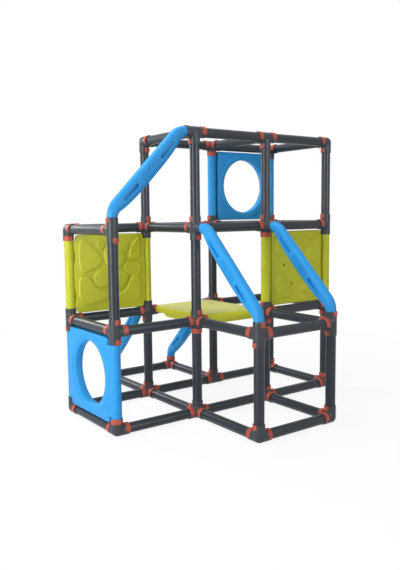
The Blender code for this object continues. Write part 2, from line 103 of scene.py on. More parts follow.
# Stone pads of the stone panel, seen from the front, as shares of the pitch
STONES = (
    ((0.085, 0.87), (0.215, 0.87), (0.4, 0.655), (0.345, 0.57), (0.1, 0.475)),
    ((0.08, 0.475), (0.215, 0.48), (0.29, 0.33), (0.44, 0.3), (0.455, 0.18), (0.085, 0.13)),
    ((0.3, 0.858), (0.425, 0.862), (0.405, 0.765), (0.345, 0.738)),
    ((0.25, 0.45), (0.33, 0.54), (0.465, 0.52), (0.475, 0.35), (0.345, 0.32)),
    ((0.405, 0.79), (0.5, 0.77), (0.7, 0.69), (0.65, 0.57), (0.57, 0.535), (0.42, 0.59)),
    ((0.49, 0.862), (0.76, 0.866), (0.705, 0.715), (0.6, 0.77), (0.51, 0.77)),
    ((0.885, 0.885), (0.895, 0.63), (0.715, 0.635), (0.755, 0.79), (0.84, 0.885)),
    ((0.645, 0.56), (0.705, 0.61), (0.89, 0.612), (0.905, 0.455), (0.745, 0.425)),
    ((0.515, 0.5), (0.635, 0.525), (0.74, 0.435), (0.65, 0.305), (0.53, 0.3)),
    ((0.87, 0.465), (0.895, 0.135), (0.575, 0.135), (0.57, 0.245), (0.68, 0.275), (0.77, 0.45)),
)

AXES = {
    "x+": Vector((1, 0, 0)), "x-": Vector((-1, 0, 0)),
    "y+": Vector((0, 1, 0)), "y-": Vector((0, -1, 0)),
    "z+": Vector((0, 0, 1)), "z-": Vector((0, 0, -1)),
}


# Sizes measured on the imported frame

def node_middle(name):
    low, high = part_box(name)
    return (low + high) / 2


PITCH = node_middle("post_0_G").y - node_middle("post_0_C").y
TUBE_RADIUS = (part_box("post_0_C")[1].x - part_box("post_0_C")[0].x) / 2
SOCKET_RADIUS = node_middle("tube_0_CD").z
TUBE_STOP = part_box("post_0_C")[0].z - SOCKET_RADIUS
COLUMN_C = node_middle("post_0_C")


# Settings

def length(name, description, default, **limits):
    return FloatProperty(name=name, description=description, default=default, unit="LENGTH",
                         **limits)


def plastic_colour(name, colour):
    return FloatVectorProperty(name=name, description=f"Colour of the {name.lower()} plastic",
                               default=colour, size=3, min=0, max=1, subtype="COLOR")


class SocketSettings(PropertyGroup):
    """Sizes of the connectors' sockets and of the clips on them."""
    reach: length("Socket Reach", "From a connector's middle to a socket's mouth", 0.054, min=0.04)
    fillet: length("Saddle Fillet", "Width of the blend where two sockets meet", 0.009, min=0.001)
    lip: length("Mouth Rounding", "Rounding of a socket's mouth", 0.0011, min=0.0001)
    clip_start: length("Clip Start", "From a connector's middle to a clip's near edge", 0.0315)
    clip_thickness: length("Clip Thickness", "How far a clip stands out from its socket", 0.0019)
    clip_arc: FloatProperty(
        name="Clip Arc", description="How far a clip reaches round its socket",
        default=math.radians(136), subtype="ANGLE")
    pinhole: length("Pinhole Radius", "Radius of the small holes in sockets and tubes", 0.0026)
    tube_hole: length("Tube Hole Place", "From a connector's middle to a tube's hole", 0.0645)


class PanelSettings(PropertyGroup):
    """Sizes of the crawl panels, the stone panels and the deck."""
    thickness: length("Plate Thickness", "From a plate's front to its back", 0.027)
    crawl_thickness: length("Crawl Panel Thickness", "Through the collar round the hole", 0.044)
    margin: length("Plate Margin", "From a crossing tube's axis to the plate's edge", 0.0285)
    rounding: length("Edge Rounding", "Rounding of a plate's edges", 0.0045)
    crawl_radius: length("Crawl Hole Radius", "Radius of the way through a panel", 0.1455)
    funnel_radius: length("Funnel Radius", "Where the hole's mouth reaches the front", 0.165)
    disc_radius: length("Back Disc Radius", "Radius of the round step on the back", 0.177)
    stone_height: length("Stone Height", "How far the stone pads stand out", 0.006)
    stud_spacing: length("Stud Spacing", "From one anti-slip stud to the next", 0.015)


class RailSettings(PropertyGroup):
    """Sizes of the handrails."""
    bend: length("Bend Radius", "Radius of a handrail's two bends", 0.070)
    corner: length("Slope Height", "Where the slope meets the lower tube's axis", 0.089)
    belly: length("Belly", "How much wider the grip gets on its lower side", 0.027)
    slot_length: length("Slot Length", "Length of a moulded slot", 0.095)
    slot_width: length("Slot Width", "Width of a moulded slot", 0.015)
    slot_offset: length("Slot Offset", "From the grip's middle to a slot's middle", 0.130)
    grip_length: length("Grip Length", "Length of the framed patch of grip ribs", 0.104)
    grip_width: length("Grip Width", "Width of the framed patch of grip ribs", 0.040)


class ColourSettings(PropertyGroup):
    """Colours of the plastics and of the deck's anti-slip top, whose paler, greyer colour is partly
    painted top light.
    """
    grey: plastic_colour("Grey", (0.024, 0.030, 0.040))
    socket_grey: plastic_colour("Socket Grey", (0.042, 0.048, 0.057))
    red: plastic_colour("Red", (0.43, 0.082, 0.050))
    blue: plastic_colour("Blue", (0.022, 0.285, 0.66))
    green: plastic_colour("Green", (0.50, 0.51, 0.024))
    # Paler and greyer than the deck's green: partly painted top light on the anti-slip top
    anti_slip: plastic_colour("Anti-Slip", (0.55, 0.55, 0.17))


class StageSettings(PropertyGroup):
    """Camera, lamps and floor."""
    lens: FloatProperty(
        name="Lens", description="Focal length on a sensor 36 mm high",
        default=39.89, min=1, unit="CAMERA")
    light_level: FloatProperty(
        name="Light Level", description="Strength of the lamps, as a share of their written power",
        default=1.0, min=0)
    floor_half: IntProperty(
        name="Floor Reach", description="From the middle of the floor to its edge, in metres",
        default=12, min=2)


# Lattice

def place(column, level):
    """Middle of the connector of a column at a level."""
    across, along = (own - start for own, start in zip(COLUMNS[column], COLUMNS["C"]))
    return Vector((COLUMN_C.x + across * PITCH, COLUMN_C.y + along * PITCH,
                   SOCKET_RADIUS + level * PITCH))


def axis_name(start, end):
    """Name of the axis that leads from one place to another."""
    step = (end - start).normalized()
    return next(name for name, axis in AXES.items() if axis.dot(step) > 0.9)


def lengthwise(pair):
    """Whether a level tube runs from front to back, and so belongs to a beam."""
    return COLUMNS[pair[0]][0] == COLUMNS[pair[1]][0]


def beam_node(connector):
    """CAD node whose solid holds a connector: a straight run of them, or one alone."""
    column, level = connector
    kept = [name.split("_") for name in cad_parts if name.startswith(("beam_", "connector_"))]
    return next("_".join(parts) for parts in kept if parts[1] == str(level) and column in parts[2])


def tube_runs():
    """Name, ends and CAD node of every tube; a lengthwise tube stands for a share of its beam."""
    for level, pairs in LEVEL_TUBES.items():
        for pair in pairs.split():
            node = f"tube_{level}_{pair}"
            if lengthwise(pair):
                pair = "".join(sorted(pair, key=lambda column: COLUMNS[column][1]))
                node = beam_node((pair[0], level))
            yield f"level_tube_{level}_{pair}", (pair[0], level), (pair[1], level), node
    for level, columns in POSTS.items():
        for column in columns:
            yield (f"upright_{level}_{column}", (column, level), (column, level + 1),
                   f"post_{level}_{column}")


def moulded_runs():
    """Ends of the tubes that are moulded into the panels and the deck."""
    for left, right, level in (*HOLE_PANELS.values(), *STONE_PANELS.values()):
        for column in (left, right):
            yield (column, level), (column, level + 1)
    for front, behind in DECK_TUBES:
        yield (front, DECK[2]), (behind, DECK[2])


def find_sockets():
    """Socket directions of every connector: one for each thing that plugs into it."""
    sockets = {}
    for start, end in (*moulded_runs(), *(run[1:3] for run in tube_runs())):
        a, b = place(*start), place(*end)
        sockets.setdefault(start, set()).add(axis_name(a, b))
        sockets.setdefault(end, set()).add(axis_name(b, a))
    for lower, upper, level in HANDRAILS.values():
        sockets.setdefault((lower, level), set()).add("z+")
        inwards = axis_name(place(upper, level), place(lower, level))
        sockets.setdefault((upper, level + 1), set()).add(inwards)
    return sockets


def clip_angle(socket):
    """Direction that a clip faces, in degrees from its socket's first side axis."""
    along = socket[2]
    if along == "z":
        return next((angle for angle, names in UPRIGHT_CLIPS.items() if socket in names), 135)
    if socket in STRAIGHT_CLIPS:
        return 90
    front = 45 if along == "y" else 135
    return 180 - front if socket in TURNED_CLIPS else front


def side_axes(axis):
    """Axes that an angle round a socket counts from: X to Y on uprights, else X or Y up to Z."""
    if abs(axis.z) > 0.5:
        return AXES["x+"], AXES["y+"]
    return (AXES["y+"] if abs(axis.x) > 0.5 else AXES["x+"]), AXES["z+"]


# Mesh tools

TURN_STEPS = 32                 # points round a socket or a tube
PIT_TAPER = 0.85                # a pinhole's bottom as a share of its mouth
PINHOLE_DEPTH = 0.0028
MERGE_DISTANCE = 5e-6
SHARP_ANGLE = 38


class Skin:
    """Points and faces of one mesh, gathered loop by loop."""

    def __init__(self):
        self.points = []
        self.faces = []

    def add(self, points):
        start = len(self.points)
        self.points.extend(points)
        return list(range(start, len(self.points)))

    def weave(self, loops, closed=True, pits=()):
        """Quads between neighbouring loops, but for those round a pit's loop and step."""
        count = len(loops[0])
        left_out = {((loop + i) % len(loops), (step + j) % count)
                    for loop, step in pits for i in (-1, 0) for j in (-1, 0)}
        for i, (low, high) in enumerate(zip(loops, loops[1:])):
            for j in range(count if closed else count - 1):
                if (i, j) not in left_out:
                    k = (j + 1) % count
                    self.faces.append((low[j], low[k], high[k], high[j]))

    def cap(self, loop, openings=()):
        """Flat face across a loop, with round openings left in it."""
        if not openings:
            self.faces.append(tuple(loop))
            return
        outlines = [loop, *openings]
        flat = [[self.points[i] for i in outline] for outline in outlines]
        order = [i for outline in outlines for i in outline]
        self.faces.extend(tuple(order[i] for i in face) for face in tessellate_polygon(flat))

    def body(self, rows):
        """Closed body: quads between rows of points and a flat face at both ends."""
        loops = [self.add(row) for row in rows]
        self.weave(loops)
        self.cap(loops[0])
        self.cap(loops[-1])

    def pit(self, loops, loop, step, rims):
        """Blind round hole in the four cells round a loop's step, through rims of eight points."""
        count = len(loops[0])
        ring = [loops[loop + i][(step + j) % count]
                for i, j in ((-1, -1), (-1, 0), (-1, 1), (0, 1), (1, 1), (1, 0), (1, -1), (0, -1))]
        for rim in rims:
            inner = self.add(rim)
            self.weave([ring, inner])
            ring = inner
        self.cap(ring)

    def mesh(self, name, sharp=SHARP_ANGLE):
        """Mesh with merged points, normals outwards and edges sharp from an angle in degrees."""
        mesh = bpy.data.meshes.new(name)
        mesh.from_pydata([tuple(point) for point in self.points], [], self.faces)
        bm = bmesh.new()
        bm.from_mesh(mesh)
        bmesh.ops.remove_doubles(bm, verts=bm.verts, dist=MERGE_DISTANCE)
        bmesh.ops.recalc_face_normals(bm, faces=bm.faces)
        bm.to_mesh(mesh)
        bm.free()
        mesh.shade_smooth()
        mesh.set_sharp_from_angle(angle=math.radians(sharp))
        return mesh


def pit_rims(at, forward, turn, radius, size, depth):
    """Rims of a pit in a round skin, in the order that Skin.pit wants."""
    leans = [math.radians(225 + 45 * i) for i in range(8)]
    return [[at(forward + width * math.sin(lean), turn + width * math.cos(lean) / radius,
                radius - sink) for lean in leans]
            for sink, width in ((0, size), (depth, size * PIT_TAPER))]


def turns_round(steps, start=0):
    return [math.radians(start + 360 * i / steps) for i in range(steps)]


def round_about(axis, start=Vector()):
    """Function from a place along an axis, a turn round it and a radius to the point there."""
    first, second = side_axes(axis)
    return lambda forward, turn, radius: (
        start + axis * forward + (first * math.cos(turn) + second * math.sin(turn)) * radius)


def add_round(skin, at, turns, stations, holes, hole_step, size, saddles=()):
    """Loops of a round skin from stations of place and radius, with a pinhole at some places."""
    loops = [skin.add(row) for row in saddles]
    loops += [skin.add([at(forward, turn, radius) for turn in turns])
              for forward, radius in stations]
    step = round(hole_step) % TURN_STEPS
    pits = [i + len(saddles) for i, station in enumerate(stations) if station[0] in holes]
    skin.weave(loops, pits=[(loop, step) for loop in pits])
    for loop, hole in zip(pits, holes):
        radius = stations[loop - len(saddles)][1]
        skin.pit(loops, loop, step, pit_rims(at, hole, turns[step], radius, size, PINHOLE_DEPTH))
    return loops


def add_object(name, data, matrix=Matrix.Identity(4)):
    item = bpy.data.objects.new(name, data)
    bpy.context.scene.collection.objects.link(item)
    item.matrix_world = matrix
    return item


def add_piece(name, mesh, finish, nodes, matrix):
    """Visible piece that stands for CAD nodes and rides with the frame."""
    if not mesh.materials:
        mesh.materials.append(finish)
    piece = add_object(name, mesh, matrix)
    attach(piece, BODY)
    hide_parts(*nodes)


def add_at_connectors(name, finish, build):
    """A piece at every connector, built from the connector's name and its socket directions."""
    for (column, level), directions in sorted(find_sockets().items()):
        skin = Skin()
        build(skin, f"{column}{level}", sorted(directions))
        label = f"{name}_{column}{level}"
        add_piece(label, skin.mesh(label), finish, [beam_node((column, level))],
                  Matrix.Translation(place(column, level)))


def bay_frame(left, right, level, up="z+"):
    """Frame of a panel or rail: X from left to right, Z along up, and Y from front to back."""
    corner, up = place(left, level), AXES[up]
    across = (place(right, level) - corner).normalized()
    turn = Matrix((across, up.cross(across), up)).transposed().to_4x4()
    return Matrix.Translation(corner) @ turn


def add_in_bays(context, mesh, colour, bays):
    """Pieces of one mesh and colour, each in its own bay of the lattice."""
    for name, bay in bays.items():
        add_piece(f"{colour}_{name}", mesh, plastic(context, colour), [name],
                  bay_frame(*bay))


# Materials

# Numbers of a Mix node's colour sockets: its two inputs and its output
MIX_FIRST, MIX_SECOND, MIX_RESULT = 6, 7, 2


class Nodes:
    """Node tree of a material or a world, built call by call."""

    def __init__(self, owner):
        owner.use_nodes = True
        self.tree = owner.node_tree
        self.tree.nodes.clear()

    def add(self, kind, inputs=None, **settings):
        """Node whose inputs are each set to a value or linked to another node's output."""
        node = self.tree.nodes.new(kind)
        for name, value in settings.items():
            setattr(node, name, value)
        for name, value in (inputs or {}).items():
            if isinstance(value, bpy.types.NodeSocket):
                self.tree.links.new(value, node.inputs[name])
            else:
                node.inputs[name].default_value = value
        return node

    def noise(self, coordinates, scale, detail=3.0, roughness=0.55):
        inputs = {"Vector": coordinates, "Scale": scale, "Detail": detail, "Roughness": roughness}
        return self.add("ShaderNodeTexNoise", inputs).outputs["Fac"]

    def spread(self, source, low, high, start=0.3, end=0.7):
        """A noise's middle values spread between two numbers."""
        inputs = {"Value": source, "From Min": start, "From Max": end, "To Min": low,
                  "To Max": high}
        return self.add("ShaderNodeMapRange", inputs).outputs["Result"]

    def mix(self, factor, first, second):
        inputs = {"Factor": factor, MIX_FIRST: first, MIX_SECOND: second}
        return self.add("ShaderNodeMix", inputs, data_type="RGBA").outputs[MIX_RESULT]

    def bump(self, height, distance, strength, **under):
        inputs = {"Height": height, "Distance": distance, "Strength": strength, **under}
        return self.add("ShaderNodeBump", inputs).outputs["Normal"]

    def end(self, kind, share, first, second):
        """Output of a tree whose surface is a mix of two shaders."""
        inputs = {"Fac": share, 1: first.outputs[0], 2: second.outputs[0]}
        mixer = self.add("ShaderNodeMixShader", inputs)
        self.add(f"ShaderNodeOutput{kind}", {"Surface": mixer.outputs[0]})


def towards(grey, colour, share):
    """A colour moved part of the way to a grey, with its alpha."""
    return (*(channel + (grey - channel) * share for channel in colour), 1)


# What sets each plastic apart: roughness, grain per metre, grain height, gloss, rubbed share
FINISHES = {
    "grey": (0.33, 900.0, 0.000002, 0.30, 0.004),
    "socket_grey": (0.38, 900.0, 0.000004, 0.26, 0.012),
    "red": (0.36, 900.0, 0.000004, 0.22, 0.02),
    "blue": (0.46, 900.0, 0.000002, 0.20, 0.010),
    "green": (0.44, 900.0, 0.000002, 0.22, 0.010),
    "anti_slip": (0.62, 700.0, 0.0004, 0.25, 0.08),
}
TONE_SCALE, MOTTLE = 9.0, 0.035             # slow changes of tone per metre, and their share
STREAK_SCALE = (60, 60, 7)                  # rubbed streaks per metre, stretched along +Z
STREAK_SPREAD, STREAK_ROUGHNESS = (0.60, 0.80), 0.6         # part of their noise that shows
RUBBED_GREY = 0.5
GLOSS_SCALE, GLOSS_SPREAD = 10.0, (-0.008, 0.012)
WAVE_SCALE, WAVE_HEIGHT, WAVE_STRENGTH = 20.0, 0.0004, 0.10
GRAIN_STRENGTH = 0.5
PLASTIC_IOR = 1.48


def moulded_plastic(name, colour, roughness, grain, grain_height, gloss_level, rubbed):
    """Moulded plastic: slow changes of tone, a fine grain, rubbed streaks and uneven gloss."""
    material = bpy.data.materials.new(name)
    nodes = Nodes(material)
    coordinates = nodes.add("ShaderNodeTexCoord").outputs["Object"]
    tone = nodes.spread(nodes.noise(coordinates, TONE_SCALE), 0, 1)
    plain = nodes.mix(tone, towards(0, colour, MOTTLE), towards(0, colour, -MOTTLE))
    stretched = nodes.add("ShaderNodeMapping", {"Vector": coordinates, "Scale": STREAK_SCALE})
    streaks = nodes.noise(stretched.outputs["Vector"], 1.0, roughness=STREAK_ROUGHNESS)
    rub = nodes.spread(streaks, 0, 1, *STREAK_SPREAD)
    uneven = nodes.noise(coordinates, GLOSS_SCALE, detail=1.0)
    waves = nodes.bump(nodes.noise(coordinates, WAVE_SCALE, detail=0.0), WAVE_HEIGHT, WAVE_STRENGTH)
    fine = nodes.noise(coordinates, grain, detail=2.0)
    shader = nodes.add("ShaderNodeBsdfPrincipled", {
        "IOR": PLASTIC_IOR,
        "Specular IOR Level": gloss_level,
        "Base Color": nodes.mix(rub, plain, towards(RUBBED_GREY, colour, rubbed)),
        "Roughness": nodes.spread(uneven, *(roughness + offset for offset in GLOSS_SPREAD)),
        "Normal": nodes.bump(fine, grain_height, GRAIN_STRENGTH, Normal=waves),
    })
    nodes.add("ShaderNodeOutputMaterial", {"Surface": shader.outputs["BSDF"]})
    return material


def plastic(context, name):
    """The finish of one of the frame's plastics, made once."""
    label = f"moulded_{name}"
    colour = getattr(context.scene.frame_colours, name)
    return bpy.data.materials.get(label) or moulded_plastic(label, colour, *FINISHES[name])


# Connectors

FACE_CELLS = TURN_STEPS // 4    # cells along each side of a connector's cube of faces
CUBE_CORNER = 45                # degrees from a face's side axis to its corners
SADDLE_SHARES = (0, 0.35, 0.7)  # loops from the saddles to a socket's round part
BORE_PLAY = 0.0003              # between a tube and its socket's bore
MOUTH_CHAMFER = (0.0004, 0.0005)            # across the wall and along the bore


def skin_reach(direction, arms, fillet):
    """Distance from a connector's middle to its skin: the farthest socket's, with a soft saddle."""
    reaches = [SOCKET_RADIUS, SOCKET_RADIUS]
    for arm in arms:
        lean = direction.dot(arm)
        if lean > 0:
            reaches.append(SOCKET_RADIUS / math.sqrt(1 - lean * lean))
    far, near = sorted(reaches)[:-3:-1]
    overlap = max(fillet - (far - near), 0)
    weight = min((near - SOCKET_RADIUS) / fillet, 1)
    return far + overlap * overlap / (4 * fillet) * weight


def add_closed_face(skin, axis, arms, fillet):
    """The rounded side of a connector that has no socket."""
    first, second = side_axes(axis)
    steps = [math.tan(math.radians(CUBE_CORNER * (2 * i / FACE_CELLS - 1)))
             for i in range(FACE_CELLS + 1)]
    loops = []
    for up in steps:
        directions = [(axis + first * aside + second * up).normalized() for aside in steps]
        loops.append(skin.add([d * skin_reach(d, arms, fillet) for d in directions]))
    skin.weave(loops, closed=False)


def add_socket(skin, axis, arms, hole_angle, sizes):
    """One socket, from the saddles round it to its mouth and down its bore."""
    at = round_about(axis)
    turns = turns_round(TURN_STEPS, -CUBE_CORNER)
    start, reach, lip = sizes.clip_start, sizes.reach, sizes.lip
    saddles = []
    for share in SADDLE_SHARES:
        row = []
        for turn in turns:
            saddle = SOCKET_RADIUS * max(abs(math.cos(turn)), abs(math.sin(turn)))
            direction = at(saddle + (start - saddle) * share, turn, SOCKET_RADIUS).normalized()
            row.append(direction * skin_reach(direction, arms, sizes.fillet))
        saddles.append(row)
    hole, beside = (start + reach) / 2, sizes.pinhole * 2
    bore = TUBE_RADIUS + BORE_PLAY
    chamfer_out, chamfer_in = MOUTH_CHAMFER
    stations = [(forward, SOCKET_RADIUS)
                for forward in (start, hole - beside, hole, hole + beside, reach - lip)]
    stations += [(reach - lip * 0.3, SOCKET_RADIUS - lip * 0.3), (reach, SOCKET_RADIUS - lip),
                 (reach, bore + chamfer_out), (reach - chamfer_in, bore), (TUBE_STOP, bore)]
    hole_step = (hole_angle + CUBE_CORNER) * TURN_STEPS / 360
    loops = add_round(skin, at, turns, stations, (hole,), hole_step, sizes.pinhole, saddles)
    skin.cap(loops[-1])


class CLIMB_OT_connectors(Operator):
    """Rounded connectors with their sockets and pinholes, one at each corner of the lattice"""
    bl_idname = "climbing_frame.connectors"
    bl_label = "Connectors"

    def execute(self, context):
        sizes = context.scene.frame_sockets

        def build(skin, connector, directions):
            arms = [AXES[direction] for direction in directions]
            for name, axis in AXES.items():
                if name in directions:
                    add_socket(skin, axis, arms, clip_angle(connector + name) + 180, sizes)
                else:
                    add_closed_face(skin, axis, arms, sizes.fillet)

        add_at_connectors("socket_cluster", plastic(context, "socket_grey"), build)
        return {"FINISHED"}


# Locking clips

CLIP_STEPS = 12                 # steps round a clip
CLIP_SINK = 0.0003              # how far a clip's inside lies in its socket's skin
# Half of a clip across: share of its half width, and how far the skin lies below its outside
CLIP_EDGE = ((1, 0.0011), (0.965, 0.0004), (0.90, 0))
CLIP_TAPER = {0: 0.80, 1: 0.985}            # share of the width, by steps from an end
CLIP_END_DROP = 0.0010          # how much lower the outside lies at an end
PEG_RADIUS, PEG_DEPTH, PEG_RISE = 0.0034, 0.0009, 0.0001
PEG_FIELD = 1.7                 # half the raised field across the peg, in peg radii


def add_clip(skin, axis, angle, sizes):
    """C-shaped band with rounded edges, drawn-in ends and the round mark of its peg."""
    at = round_about(axis)
    middle = math.radians(angle)
    centre, half = (sizes.clip_start + sizes.reach) / 2, (sizes.reach - sizes.clip_start) / 2
    outer = SOCKET_RADIUS + sizes.clip_thickness
    flank = [(1, SOCKET_RADIUS - CLIP_SINK), *((share, outer - drop) for share, drop in CLIP_EDGE),
             (PEG_RADIUS * PEG_FIELD / half, outer + PEG_RISE)]
    section = [(-share, radius) for share, radius in flank] + [(0, outer + PEG_RISE)] + flank[::-1]
    loops = []
    for share, radius in section:
        loop = []
        for i in range(CLIP_STEPS + 1):
            from_end = min(i, CLIP_STEPS - i)
            width = half * CLIP_TAPER.get(from_end, 1)
            drop = CLIP_END_DROP if from_end == 0 and radius > SOCKET_RADIUS else 0
            turn = middle + sizes.clip_arc * (i / CLIP_STEPS - 0.5)
            loop.append(at(centre + share * width, turn, radius - drop))
        loops.append(skin.add(loop))
    peg_loop, peg_step = len(flank), CLIP_STEPS // 2
    skin.weave(loops + loops[:1], closed=False, pits=[(peg_loop, peg_step)])
    for end in (0, CLIP_STEPS):
        skin.cap([loop[end] for loop in loops])
    skin.pit(loops, peg_loop, peg_step, pit_rims(at, centre, middle, outer, PEG_RADIUS, PEG_DEPTH))


class CLIMB_OT_clips(Operator):
    """Red locking clips, one on each socket, grouped by the connector that carries them"""
    bl_idname = "climbing_frame.clips"
    bl_label = "Locking Clips"

    def execute(self, context):
        def build(skin, connector, directions):
            for name in directions:
                add_clip(skin, AXES[name], clip_angle(connector + name),
                         context.scene.frame_sockets)

        add_at_connectors("clips", plastic(context, "red"), build)
        return {"FINISHED"}


# Tubes

TUBE_CHAMFER = 0.001


def add_tube(skin, sizes, across=0, holes=(), hole_angle=0):
    """Round tube from stop to stop along +Z, with a pinhole at each place given."""
    beside, edge = sizes.pinhole * 2, TUBE_CHAMFER
    stations = [(TUBE_STOP, TUBE_RADIUS - edge), (TUBE_STOP + edge, TUBE_RADIUS)]
    stations += [(hole + off, TUBE_RADIUS) for hole in holes for off in (-beside, 0, beside)]
    stations += [(PITCH - TUBE_STOP - edge, TUBE_RADIUS), (PITCH - TUBE_STOP, TUBE_RADIUS - edge)]
    loops = add_round(skin, round_about(AXES["z+"], Vector((across, 0, 0))),
                      turns_round(TURN_STEPS), stations, holes, hole_angle * TURN_STEPS / 360,
                      sizes.pinhole)
    skin.cap(loops[0])
    skin.cap(loops[-1])


class CLIMB_OT_tubes(Operator):
    """Round grey tubes and uprights that plug into the sockets"""
    bl_idname = "climbing_frame.tubes"
    bl_label = "Tubes"

    def execute(self, context):
        sizes = context.scene.frame_sockets
        holes = (sizes.tube_hole, PITCH - sizes.tube_hole)
        meshes = {}
        for name, start, end, node in tube_runs():
            low = place(*start)
            direction = axis_name(low, place(*end))
            angle = (clip_angle(f"{start[0]}{start[1]}{direction}") + 180) % 360
            if angle not in meshes:
                skin = Skin()
                add_tube(skin, sizes, holes=holes, hole_angle=angle)
                meshes[angle] = skin.mesh(f"tube_{angle}")
            axis = AXES[direction]
            side, _ = side_axes(axis)
            turn = Matrix((side, axis.cross(side), axis)).transposed().to_4x4()
            add_piece(name, meshes[angle], plastic(context, "grey"), [node],
                      Matrix.Translation(low) @ turn)
        return {"FINISHED"}


# Plates of the panels and the deck

CORNER_CRISPNESS = 110          # power that rounds a plate's corners: more is crisper
CORNER_CUT = 0.009              # how much of a plate's corner is cut off
NOTCH = (0.0292, 0.0560)        # room for a socket and its clip: beside its axis and along it
POCKET_SPANS = ((0.19, 0.31), (0.635, 0.765))     # heights of the pockets, as shares of the pitch
POCKET_RAMP = 0.010             # share of the pitch in which a pocket gets its full depth
POCKET_COSINE = 0.7             # pockets lie in the sides: least cosine of an angle there
POCKET_FLOOR, THIN_BACK = 0.012, 0.016      # how deep behind the front they lie
POCKET_DRAFT, SOFT_STEP = 0.0003, 0.001     # lean of a pocket's wall, and rounding of its floor
SLOPE_WIDTH, SLOPE_RISE = 0.005, 0.004      # from the thin edge's back to the thick part
LEAST_STEP = 0.0002             # least distance that keeps neighbouring points apart
# Rounded edge of a plate: how far in and how deep, as shares of its rounding
EDGE_CURVE = ((1, 0), (0.6, 0.12), (0.25, 0.42), (0, 1))
# Where a plate and its thick part start, beside its tubes' axes
PLATE_SIDES = {"crawl": (0.004, 0.0275), "stone": (0.017, 0.038), "deck": (0.004, 0.030)}
# Angles round a plate's middle, close together near its corners
QUARTER_TURN = [2.5 * i for i in range(14)] + [34 + 0.5 * i for i in range(33)]
QUARTER_TURN += [52.5 + 2.5 * i for i in range(15)]
OUTLINE_TURNS = [math.radians(90 * i + lean) for i in range(4) for lean in QUARTER_TURN]
HALF = PITCH / 2


class Outline:
    """Plate outline round its middle: how far it reaches at an angle."""

    def __init__(self, side, margin):
        slant = Vector((1, 1)).normalized()
        corner = slant.dot(Vector((HALF - max(side, NOTCH[0]) - CORNER_CUT, HALF - margin)))
        self.edges = [(Vector((sign, 0)), HALF - side) for sign in (-1, 1)]
        self.edges += [(Vector((0, sign)), HALF - margin) for sign in (-1, 1)]
        self.edges += [(Vector((slant.x * a, slant.y * b)), corner)
                       for a in (-1, 1) for b in (-1, 1)]

    def reach(self, turn):
        ray = Vector((math.cos(turn), math.sin(turn)))
        leans = [(normal.dot(ray), distance) for normal, distance in self.edges]
        total = sum((lean / distance) ** CORNER_CRISPNESS for lean, distance in leans if lean > 0)
        notch = max((HALF - room) / max(abs(part), 1e-6) for room, part in zip(NOTCH, ray))
        return min(total ** (-1 / CORNER_CRISPNESS), notch)


def smooth(value):
    value = min(max(value, 0), 1)
    return value * value * (3 - 2 * value)


def pocket_share(turn, rim):
    """How deep a pocket is at a turn and reach: 0 outside its span, 1 well inside."""
    if abs(math.cos(turn)) <= POCKET_COSINE:
        return 0
    height = 0.5 + rim * math.sin(turn) / PITCH
    return max(smooth(0.5 + min(height - low, high - height) / POCKET_RAMP)
               for low, high in POCKET_SPANS)


def face_ring(points, turns=OUTLINE_TURNS, middle=(HALF, HALF)):
    """Points on a panel from pairs of reach and depth, at angles round a middle."""
    x, z = middle
    return [Vector((x + reach * math.cos(turn), depth, z + reach * math.sin(turn)))
            for (reach, depth), turn in zip(points, turns)]


def plate_rows(kind, front, back, sizes, pocket_width=0.0, front_loops=(), back_loops=()):
    """Rows of points of a plate from its front round its edge to its back.

    The loops are the round ones of its middle, as pairs of radius and depth.
    """
    side, core = PLATE_SIDES[kind]
    outline, thick = Outline(side, sizes.margin), Outline(core, sizes.margin)
    edge = sizes.rounding
    floor, thin_back = front + POCKET_FLOOR, front + THIN_BACK
    columns = []
    for turn in OUTLINE_TURNS:
        rim, wall = outline.reach(turn), thick.reach(turn)
        lip = rim - pocket_share(turn, rim) * pocket_width / max(abs(math.cos(turn)), 0.5)
        foot = min(wall + SLOPE_WIDTH, rim - LEAST_STEP)
        columns.append([
            *((lip - edge * inset, front + edge * deep) for inset, deep in EDGE_CURVE),
            (lip + POCKET_DRAFT, floor), (rim, floor + SOFT_STEP), (rim, thin_back - SOFT_STEP),
            (foot, thin_back), (wall + LEAST_STEP, thin_back + SLOPE_RISE),
            *((wall - edge * inset, back - edge * deep) for inset, deep in EDGE_CURVE[::-1])])
    rings = [[point] * len(OUTLINE_TURNS) for point in front_loops]
    rings += zip(*columns)
    rings += [[point] * len(OUTLINE_TURNS) for point in back_loops]
    return [face_ring(ring) for ring in rings]


def add_side_tubes(skin, context):
    """The two tubes moulded into a panel or the deck."""
    for across in (0, PITCH):
        add_tube(skin, context.scene.frame_sockets, across)


# Crawl panels

FUNNEL_DEPTH = 0.011
FUNNEL_TURNS = (90, 75, 60, 45, 32)         # degrees round the funnel's rounding, from the hole
# Rounded bead round the funnel: how far out from its radius and how deep behind the front
RIM_BEAD = ((0.0005, 0.0014), (0.0050, 0.0008), (0.0072, -0.0002), (0.0092, -0.0010),
            (0.0112, -0.0010), (0.0130, -0.0004), (0.0150, 0.0000))
DISC_RISE = 0.005               # how far the disc stands out from the plate's back
# Edges of the back disc and of the hole in it: out from its radius, and how far before the back
DISC_EDGE = ((0.0015, 0.0050), (0, 0.0038), (-0.0008, 0.0012), (-0.0030, 0))
THROAT_EDGE = ((0.0060, 0), (0.0032, 0.0007), (0.0010, 0.0025), (0, 0.0055))


